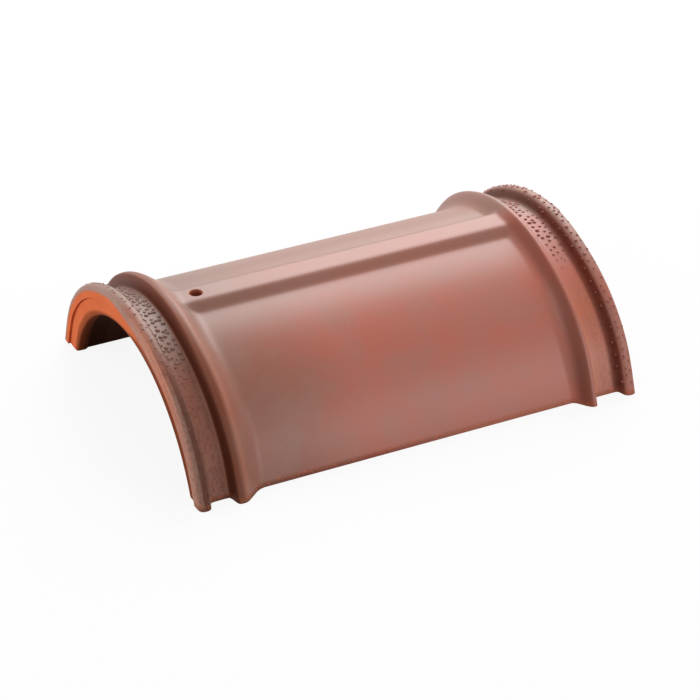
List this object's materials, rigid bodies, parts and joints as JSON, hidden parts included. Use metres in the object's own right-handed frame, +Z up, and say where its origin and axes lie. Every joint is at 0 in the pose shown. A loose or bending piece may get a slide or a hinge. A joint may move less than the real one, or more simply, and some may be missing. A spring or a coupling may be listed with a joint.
{
  "type": "clay ridge tile",
  "caption": "Arched fired-clay ridge tile with a raised strip along its crown, a ribbed and stippled collar at each end and a nail hole near one end.",
  "frame": {"origin": "middle of the tile's footprint, on the plane that its two long feet stand on", "axes": "+X along the ridge, away from the nail-hole end; +Y across the ridge; +Z up through the crown"},
  "size_m": [0.374, 0.2842, 0.104],
  "materials": {
    "clay": "engobed and fired, low satin"
  },
  "bodies": {
    "root": {"ridge_tile": "clay"}
  },
  "joints": []
}
